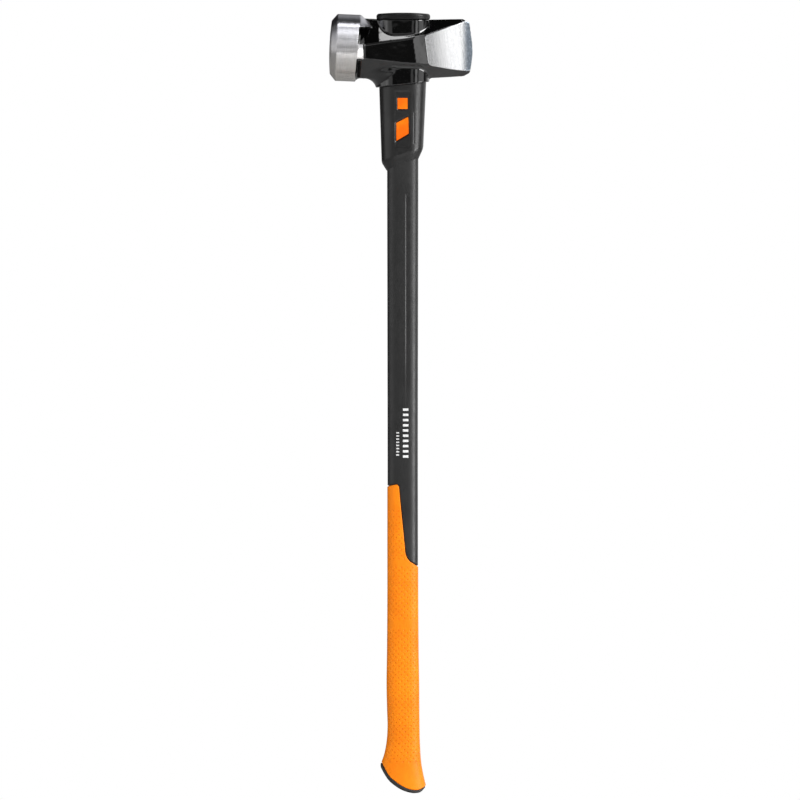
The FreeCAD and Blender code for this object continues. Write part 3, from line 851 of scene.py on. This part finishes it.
def dimpled_sheet(turns):
    """The grip's whole sheet before it is cut: its points, their depths and its faces."""
    outline = handle_point(turns, PLAIN_HEIGHT)
    around = np.linalg.norm(outline - np.roll(outline, 1, axis=0), axis=1).sum()
    cell_rows = int((GRIP_TOP + 4) / CELL_HEIGHT)
    per_column = cell_rows * CELL_STEPS + 1
    heights = np.arange(per_column) * CELL_HEIGHT / CELL_STEPS
    points = list(sheet_grid(turns, heights)[0])
    depths = [0.0] * len(points)
    faces = []
    chosen = dimpled_cells(turns, cell_rows)
    for i in range(DIMPLE_CELLS):
        for j in range(cell_rows):
            corner = i * CELL_STEPS * per_column + j * CELL_STEPS
            if (i, j) not in chosen:
                faces.extend(plain_faces(corner, per_column))
                continue
            border = border_points(corner, per_column)
            centre = np.array([(i + 0.5) * CELL_STEPS, (j + 0.5) * CELL_HEIGHT])
            faces.extend(ring_faces(border, len(points)))
            inner, inner_depths = dimple_cell([points[k] for k in border], centre,
                                              around / len(turns))
            points.extend(inner)
            depths.extend(inner_depths)
    return np.array(points), np.array(depths), faces


def make_grip(material):
    turns = even_turns(DIMPLE_CELLS * CELL_STEPS)
    points, depths, faces = dimpled_sheet(turns)
    known = len(points)

    def top_side(spots):
        return sheet_side(turns, spots, grip_side)

    def low_side(spots):
        return sheet_side(turns, spots, seam_side)

    for level in (SEAM_GAP, -0.75, -1.1, -1.7):
        points, faces = split_faces(points, faces, top_side, level)
    for level in (0.0, 0.3, 0.8):
        points, faces = split_faces(points, faces, low_side, level)
    depths = np.concatenate([depths, np.zeros(len(points) - known)])
    depth_of = {tuple(np.round(spot, 6)): depth for spot, depth in zip(points, depths)}
    points, faces = keep_faces(points, faces,
                               lambda spots: (top_side(spots) < SEAM_GAP) & (low_side(spots) > 0))
    depths = np.array([depth_of[tuple(np.round(spot, 6))] for spot in points])
    lift = GRIP_PROUD + depths + edge_dip(SEAM_GAP - top_side(points), 1.2, 1.8)
    lift += edge_dip(low_side(points), 0.9, 0.7)
    space, joined, first = wrap(turns, points, faces, lift)
    add_piece("orange_grip", space, joined, material, ["grip_sleeve"],
              marks={"dimple": -depths[first] / DIMPLE_DEPTH})


# ------------ the sole on the butt

SOLE_STEP = 0.5
TREAD_PITCH = 3.2
TREAD_DEPTH = 0.35


def sole_field(x, y, z):
    """The sole: tucked under the grip at the seam, with a ribbed tread underneath."""
    wide, offset, deep = handle_sizes(z)
    size = ((np.abs(x - offset) / wide) ** SQUARENESS + (np.abs(y) / deep) ** SQUARENESS)
    wall = (size ** (1 / SQUARENESS) - 1) * deep - 0.2 + 0.9 * fade(seam_side(x, z), -0.9, 0.1)
    bottom = (sole_bottom(x) - z) / np.hypot(1, curve_slope(sole_bottom, x))
    ribs = 0.5 + 0.5 * np.cos(y * 2 * math.pi / TREAD_PITCH)
    tread = TREAD_DEPTH * ribs * fade(12 - np.abs(y), 0, 2)
    body = round_max(wall, bottom + tread * fade(-wall, 3, 5), 1.8)
    return round_max(body, seam_side(x, z) - 0.9, 0.4)


def make_sole(material):
    add_solid("butt_tread", sole_field, SOLE_LOW, SOLE_HIGH, SOLE_STEP, 3, material,
              "butt_sole")


# ------------ the mark on the shaft

BAR_SPANS = 8
BAR_PROUD = 0.07
BAR_SUNK = 0.3
# middle along X, width, lowest height above the grip's tip, how many, pitch, a bar's height
BAR_ROWS = [(3.4, 6.4, 30.6, 10, 6.1, 2.8), (-5.9, 3.4, 33.1, 8, 3.7, 1.5)]


def angle_for(x, z):
    """The angle on the handle's near side where its outline reaches x."""
    turns = np.linspace(math.pi, 2 * math.pi, 2001)
    return np.interp(x, handle_point(turns, z)[:, 0], turns)


def bar_points(middle, width, low, tall):
    """A bar's outer points, then its inner ones, in pairs of low and high along its width."""
    points = []
    for lift in (BAR_PROUD, -BAR_SUNK):
        for x in np.linspace(middle - width / 2, middle + width / 2, BAR_SPANS + 1):
            turn = angle_for(x, low)
            points += [handle_point(turn, z, lift) for z in (low, low + tall)]
    return points


def bar_faces(base):
    """A bar's faces: outside, inside, bottom and top along its width, then its two ends."""
    outer = base
    inner = base + 2 * (BAR_SPANS + 1)
    last = 2 * BAR_SPANS
    faces = []
    for a in range(0, last, 2):
        faces.append([outer + a, outer + a + 2, outer + a + 3, outer + a + 1])
        faces.append([inner + a + 1, inner + a + 3, inner + a + 2, inner + a])
        faces.append([outer + a, inner + a, inner + a + 2, outer + a + 2])
        faces.append([outer + a + 1, outer + a + 3, inner + a + 3, inner + a + 1])
    faces.append([outer, outer + 1, inner + 1, inner])
    faces.append([outer + last, inner + last, inner + last + 1, outer + last + 1])
    return faces


def make_marks(material):
    """Two plain rows of bars on the side of the shaft, in place of any lettering."""
    points = []
    faces = []
    for middle, width, bottom, count, pitch, tall in BAR_ROWS:
        for number in range(count):
            faces += bar_faces(len(points))
            points += bar_points(middle, width, TIP_HEIGHT + bottom + number * pitch, tall)
    piece = add_piece("shaft_marks", np.array(points), faces, material)
    piece.data.polygons.foreach_set("use_smooth", [False] * len(piece.data.polygons))


# ------------ materials


def gloss_paint(nodes, place):
    """Deep gloss black over the forging's slight waviness."""
    wave = nodes.noise(place, 55, 2.0)
    peel = nodes.noise(place, 900, 1.0)
    skin = nodes.bump(peel, 0.12, 0.00012, nodes.bump(wave, 0.35, 0.0012))
    dust = nodes.ramp(nodes.noise(place, 160, 4.0), 0.45, 0.75, 0.06, 0.13)
    return nodes.surface(
        Base_Color=grey(0.001), Roughness=dust, Normal=skin, IOR=1.5, Specular_IOR_Level=0.25,
        Coat_Weight=1.0, Coat_Roughness=0.035, Coat_IOR=1.5, Coat_Normal=skin)


def turned_steel(nodes, place, cloud, worn):
    """Bare steel with fine rings around the poll's axis, and a painted reflection tint that is
    cooler towards its top and warmer towards its bottom.
    """
    x, y, z = nodes.parts(place)
    height = nodes.math("SUBTRACT", z, HEAD_MIDDLE * MM)
    cosine = math.cos(HEAD_RISE)
    sine = math.sin(HEAD_RISE)
    along = nodes.plus(nodes.times(x, -cosine), nodes.times(height, sine))
    above = nodes.plus(nodes.times(x, sine), nodes.times(height, cosine))
    radius = nodes.math("SQRT", nodes.plus(nodes.times(above, above), nodes.times(y, y)))
    turn = nodes.math("ARCTAN2", y, above)
    rings = nodes.join(nodes.times(along, 3200), nodes.times(radius, 3200), nodes.times(turn, 5))
    brush = nodes.noise(rings, 1.0, 3.0, 0.65)
    colour = nodes.mix_colour(nodes.spread(brush), (0.54, 0.54, 0.55, 1), (0.68, 0.68, 0.68, 1))
    stain = nodes.ramp(cloud, 0.35, 0.7, 0.0, 0.35)
    colour = nodes.mix_colour(stain, colour, (0.60, 0.585, 0.56, 1))
    # painted reflection: the steel's colour turns cool towards the poll's top and warm towards its
    # bottom
    painted_reflection_tint = nodes.mix_colour(nodes.ramp(above, -0.034, 0.034), (1.0, 0.965, 0.915, 1),
                            (0.965, 0.975, 1.05, 1))
    colour = nodes.mix_colour(1.0, colour, painted_reflection_tint, blend="MULTIPLY")
    normal = nodes.add("NewGeometry").outputs["Normal"]
    around = nodes.cross(normal, nodes.join(-cosine, 0.0, sine))
    return nodes.surface(
        Base_Color=colour, Metallic=1.0, Anisotropic=0.94, Tangent=nodes.cross(normal, around),
        Roughness=nodes.spread(worn, 0.31, 0.37), Normal=nodes.bump(brush, 0.25, 0.00005))


def ground_steel(nodes, place, cloud, worn):
    """Bare steel brushed upwards, darker and bluer towards the edge."""
    x, y, z = nodes.parts(place)
    leaning = nodes.plus(x, nodes.times(z, 0.12))
    lines = nodes.join(nodes.times(leaning, 3000), nodes.times(y, 3000), nodes.times(z, 45))
    grind = nodes.noise(lines, 1.0, 3.0, 0.65)
    colour = nodes.mix_colour(nodes.spread(grind), (0.62, 0.625, 0.635, 1), (0.75, 0.75, 0.755, 1))
    # the colour turns darker and bluer over the blade's outermost ten millimetres, with a noisy
    # start
    edge_darkening = nodes.ramp(nodes.plus(x, nodes.times(cloud, 0.003)), 0.0685, 0.0785)
    colour = nodes.mix_colour(edge_darkening, colour, (0.15, 0.175, 0.205, 1))
    return nodes.surface(
        Base_Color=colour, Metallic=1.0, Anisotropic=0.4, Tangent=nodes.join(1.0, 0.0, 0.12),
        Roughness=nodes.spread(worn, 0.20, 0.26), Normal=nodes.bump(grind, 0.22, 0.00005))


def head_material():
    """Gloss black paint over the forging, bare turned steel at the poll, ground steel on the
    blade. The paint's edge at the poll is a little ragged."""
    material, nodes = new_material("head_finish")
    place = nodes.place()
    cloud = nodes.noise(place, 60, 3.0)
    worn = nodes.noise(place, 380, 3.0, 0.6)
    ragged = nodes.times(nodes.math("SUBTRACT", worn, 0.5), 0.35)
    on_poll = nodes.ramp(nodes.plus(nodes.mark("bare_poll"), ragged), 0.05, 0.2)
    on_blade = nodes.ramp(nodes.mark("bare_blade"), -0.06, 0.06)
    finish = nodes.mix_shader(on_poll, gloss_paint(nodes, place),
                              turned_steel(nodes, place, cloud, worn))
    nodes.show(nodes.mix_shader(on_blade, finish, ground_steel(nodes, place, cloud, worn)))
    return material


def moulded_material(name, dark, light, low_rough, high_rough, grain=1500, depth=0.00006,
                     shine=0.5):
    """A moulded plastic or rubber: fine skin grain, slow colour and gloss changes."""
    material, nodes = new_material(name)
    place = nodes.place()
    slow = nodes.noise(place, 40, 3.0)
    fine = nodes.noise(place, grain, 2.0)
    colour = nodes.mix_colour(nodes.spread(slow), dark, light)
    colour = nodes.mix_colour(nodes.ramp(fine, 0.35, 0.75, 0.0, 0.25), colour, light)
    rough = nodes.spread(nodes.noise(place, 120, 3.0), low_rough, high_rough)
    nodes.show(nodes.surface(Base_Color=colour, Roughness=rough, Specular_IOR_Level=shine,
                             Normal=nodes.bump(fine, 0.35, depth)))
    return material


def grip_material():
    """The grip's orange rubber, with painted shade darkening the inside of its dimples."""
    material, nodes = new_material("grip_rubber")
    place = nodes.place()
    slow = nodes.noise(place, 40, 3.0)
    fine = nodes.noise(place, 2200, 2.0)
    colour = nodes.mix_colour(nodes.spread(slow), (0.81, 0.195, 0.002, 1), (0.88, 0.235, 0.003, 1))
    # painted shade: the rubber's colour is darkened inside each dimple, most at its middle
    painted_dimple_shade = nodes.times(nodes.mark("dimple"), 0.32)
    colour = nodes.mix_colour(painted_dimple_shade, colour, (0.60, 0.12, 0.002, 1))
    rough = nodes.spread(nodes.noise(place, 120, 3.0), 0.42, 0.52)
    nodes.show(nodes.surface(Base_Color=colour, Roughness=rough, Specular_IOR_Level=0.2,
                             Normal=nodes.bump(fine, 0.35, 0.00005)))
    return material


def fibre_material():
    """Pultruded fibre: long streaks along the handle."""
    material, nodes = new_material("fibre_core")
    x, y, z = nodes.parts(nodes.place())
    lines = nodes.join(nodes.times(x, 1800), nodes.times(y, 1800), nodes.times(z, 30))
    streak = nodes.noise(lines, 1.0, 3.0)
    colour = nodes.mix_colour(streak, (0.30, 0.27, 0.16, 1), (0.62, 0.58, 0.40, 1))
    nodes.show(nodes.surface(Base_Color=colour, Roughness=0.42,
                             Normal=nodes.bump(streak, 0.3, 0.0001)))
    return material


def finish_cad_nodes():
    """Procedural finishes for the CAD nodes that stay as they are."""
    pads = moulded_material("pad_rubber", (0.72, 0.105, 0.001, 1), (0.82, 0.165, 0.002, 1),
                            0.4, 0.5, shine=0.12)
    filler = moulded_material("damping_filler", (0.16, 0.16, 0.15, 1), (0.24, 0.24, 0.22, 1),
                              0.7, 0.85, grain=600, depth=0.0003)
    plug = moulded_material("plug_plastic", (0.05, 0.05, 0.055, 1), (0.08, 0.08, 0.085, 1),
                            0.45, 0.55)
    choices = {"insulation_sleeve": pads, "core_tube": fibre_material(),
               "damping_core": filler, "core_top_plug": plug, "core_end_plug": plug}
    for node, material in choices.items():
        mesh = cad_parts[node].data
        mesh.materials.clear()
        mesh.materials.append(material)


# ------------ stage, light and camera

FLOOR_HALF = 6.0
FLOOR_DROP = 0.0005
# soft panels around the tool, in degrees: azimuth from, to and softness, height from, to and
# softness, brightness
PANELS = [
    (37, 49, 4.5, -42, 58, 10, 1.95),
    (56, 92, 6, -20, 60, 8, 1.25),
    (-40, 25, 10, 8, 26, 4, 0.72),
    (-40, 25, 10, 34, 50, 5, 0.25),
    (-40, 25, 10, -40, -3, 2, 0.72),
    (-62, -24, 4, -3, 8, 3, 0.6),
    (13, 26, 3, -3, 8, 3, 0.6),
    (-100, -50, 10, -35, 45, 14, 1.15),
    (115, 175, 14, -20, 50, 14, 0.8),
]
# the overhead lights' left edge, placed so that the neck stays dark beside the bright bevel,
# and their height above the tool
OVERHEAD_LEFT = -0.2
OVERHEAD_RISE = 1.15
# how much taller than the tool the view is, where its middle is along X, and up the tool
VIEW_MARGIN = 1.025
VIEW_X = -0.0032
VIEW_SHARE = 0.5037
VIEW_DISTANCE = 3.0


def make_floor():
    """A plain pale floor under the butt."""
    material, nodes = new_material("floor_paint")
    speck = nodes.noise(nodes.place(), 30, 4.0)
    nodes.show(nodes.surface(Base_Color=nodes.mix_colour(speck, grey(0.72), grey(0.76)),
                             Roughness=nodes.spread(speck, 0.5, 0.6)))
    corners = [(-1, -1), (1, -1), (1, 1), (-1, 1)]
    mesh = bpy.data.meshes.new("floor")
    mesh.from_pydata([(x * FLOOR_HALF, y * FLOOR_HALF, 0) for x, y in corners], [], [range(4)])
    mesh.materials.append(material)
    floor = bpy.data.objects.new("floor", mesh)
    floor.location.z = -FLOOR_DROP
    bpy.context.scene.collection.objects.link(floor)
    return floor


def make_world():
    """A white studio to the camera; soft panels around the tool for light and reflections."""
    world = bpy.data.worlds.new("studio")
    bpy.context.scene.world = world
    world.use_nodes = True
    world.node_tree.nodes.clear()
    nodes = Nodes(world.node_tree)
    x, y, z = nodes.parts(nodes.add("TexCoord").outputs["Generated"])
    azimuth = nodes.math("DEGREES", nodes.math("ARCTAN2", x, nodes.times(y, -1.0)))
    height = nodes.math("DEGREES", nodes.math("ARCSINE", z))

    def band(value, low, high, soft):
        rise = nodes.ramp(value, low - soft, low + soft)
        return nodes.times(rise, nodes.ramp(value, high - soft, high + soft, 1.0, 0.0))

    light = nodes.ramp(height, -60, 20, 0.3, 0.012)
    for left, right, side_soft, low, high, height_soft, bright in PANELS:
        panel = nodes.times(band(azimuth, left, right, side_soft),
                            band(height, low, high, height_soft))
        light = nodes.plus(light, nodes.times(panel, bright))
    seen = nodes.add("LightPath").outputs["Is Camera Ray"]
    unseen = nodes.math("SUBTRACT", 1.0, seen)
    background = nodes.add("Background", grey(1.0), nodes.plus(nodes.times(light, unseen), seen))
    nodes.show(background.outputs[0], "OutputWorld")


def area_light(name, centre, target, width, height, radiance, lights=("matt", "gloss")):
    """A soft panel of the given radiance that faces its target. It lights matt surfaces,
    shows in glossy ones, or both."""
    data = bpy.data.lights.new(name, "AREA")
    data.shape = "RECTANGLE"
    data.size = width
    data.size_y = height
    data.energy = radiance * math.pi * width * height
    light = bpy.data.objects.new(name, data)
    light.location = centre
    direction = np.array(target) - np.array(centre)
    light.rotation_euler = Vector(direction).to_track_quat("-Z", "Y").to_euler()
    light.visible_camera = False
    light.visible_diffuse = "matt" in lights
    light.visible_glossy = "gloss" in lights
    bpy.context.scene.collection.objects.link(light)
    return light


def overhead_light(name, from_left, y, width, depth, radiance):
    """A level panel above the tool, placed from the overhead lights' left edge."""
    x = OVERHEAD_LEFT + from_left
    high = HEAD_HIGH[2] * MM + OVERHEAD_RISE
    area_light(name, (x, y, high), (x, y, 0), width, depth, radiance)


def make_lights(floor):
    overhead_light("overhead_strip", 0.16, -0.13, 0.32, 0.30, 6.6)
    overhead_light("overhead_front", 0.95, -0.66, 1.9, 0.76, 0.85)
    matt = ["matt"]
    area_light("matt_fill", (0.1, -2.7, 1.2), (0, 0, 0.5), 1.8, 1.8, 5.3, matt)
    area_light("matt_side", (2.26, -0.82, 0.42), (0, 0, 0.32), 1.2, 0.75, 12.5, matt)
    back = area_light("matt_back", (0.3, 2.7, 1.2), (0, 0, 0.5), 1.8, 1.8, 7.0, matt)
    unlit = bpy.data.collections.new("not_lit_from_behind")
    unlit.objects.link(floor)
    unlit.collection_objects[0].light_linking.link_state = "EXCLUDE"
    back.light_linking.receiver_collection = unlit
    gloss = ["gloss"]
    area_light("side_strip_high", (2.08, -0.72, 2.25), (0, 0, 1.2), 0.95, 1.8, 15, gloss)
    area_light("side_strip_low", (2.08, -0.72, 0.34), (0, 0, 0.34), 0.95, 0.56, 9.5, gloss)


def make_camera():
    low, high = cad_bounds
    tall = high[2] - low[2]
    data = bpy.data.cameras.new("camera")
    data.type = "ORTHO"
    data.ortho_scale = tall * VIEW_MARGIN
    camera = bpy.data.objects.new("camera", data)
    camera.location = (VIEW_X, -VIEW_DISTANCE, tall * VIEW_SHARE)
    camera.rotation_euler = (math.pi / 2, 0, 0)
    bpy.context.scene.collection.objects.link(camera)
    bpy.context.scene.camera = camera


def build():
    bpy.context.scene.view_settings.view_transform = "Standard"
    make_camera()
    make_world()
    make_lights(make_floor())
    make_head(head_material())
    make_flange(moulded_material("disc_rubber", grey(0.003), grey(0.006), 0.34, 0.44, shine=0.22))
    make_collar(moulded_material("collar_plastic", grey(0.004), grey(0.008), 0.28, 0.36))
    make_shell(moulded_material("shaft_plastic", grey(0.006), grey(0.011), 0.36, 0.44))
    make_grip(grip_material())
    make_sole(moulded_material("sole_rubber", grey(0.010), grey(0.018), 0.45, 0.6))
    make_marks(moulded_material("mark_ink", grey(0.55), grey(0.68), 0.4, 0.5))
    finish_cad_nodes()


build()
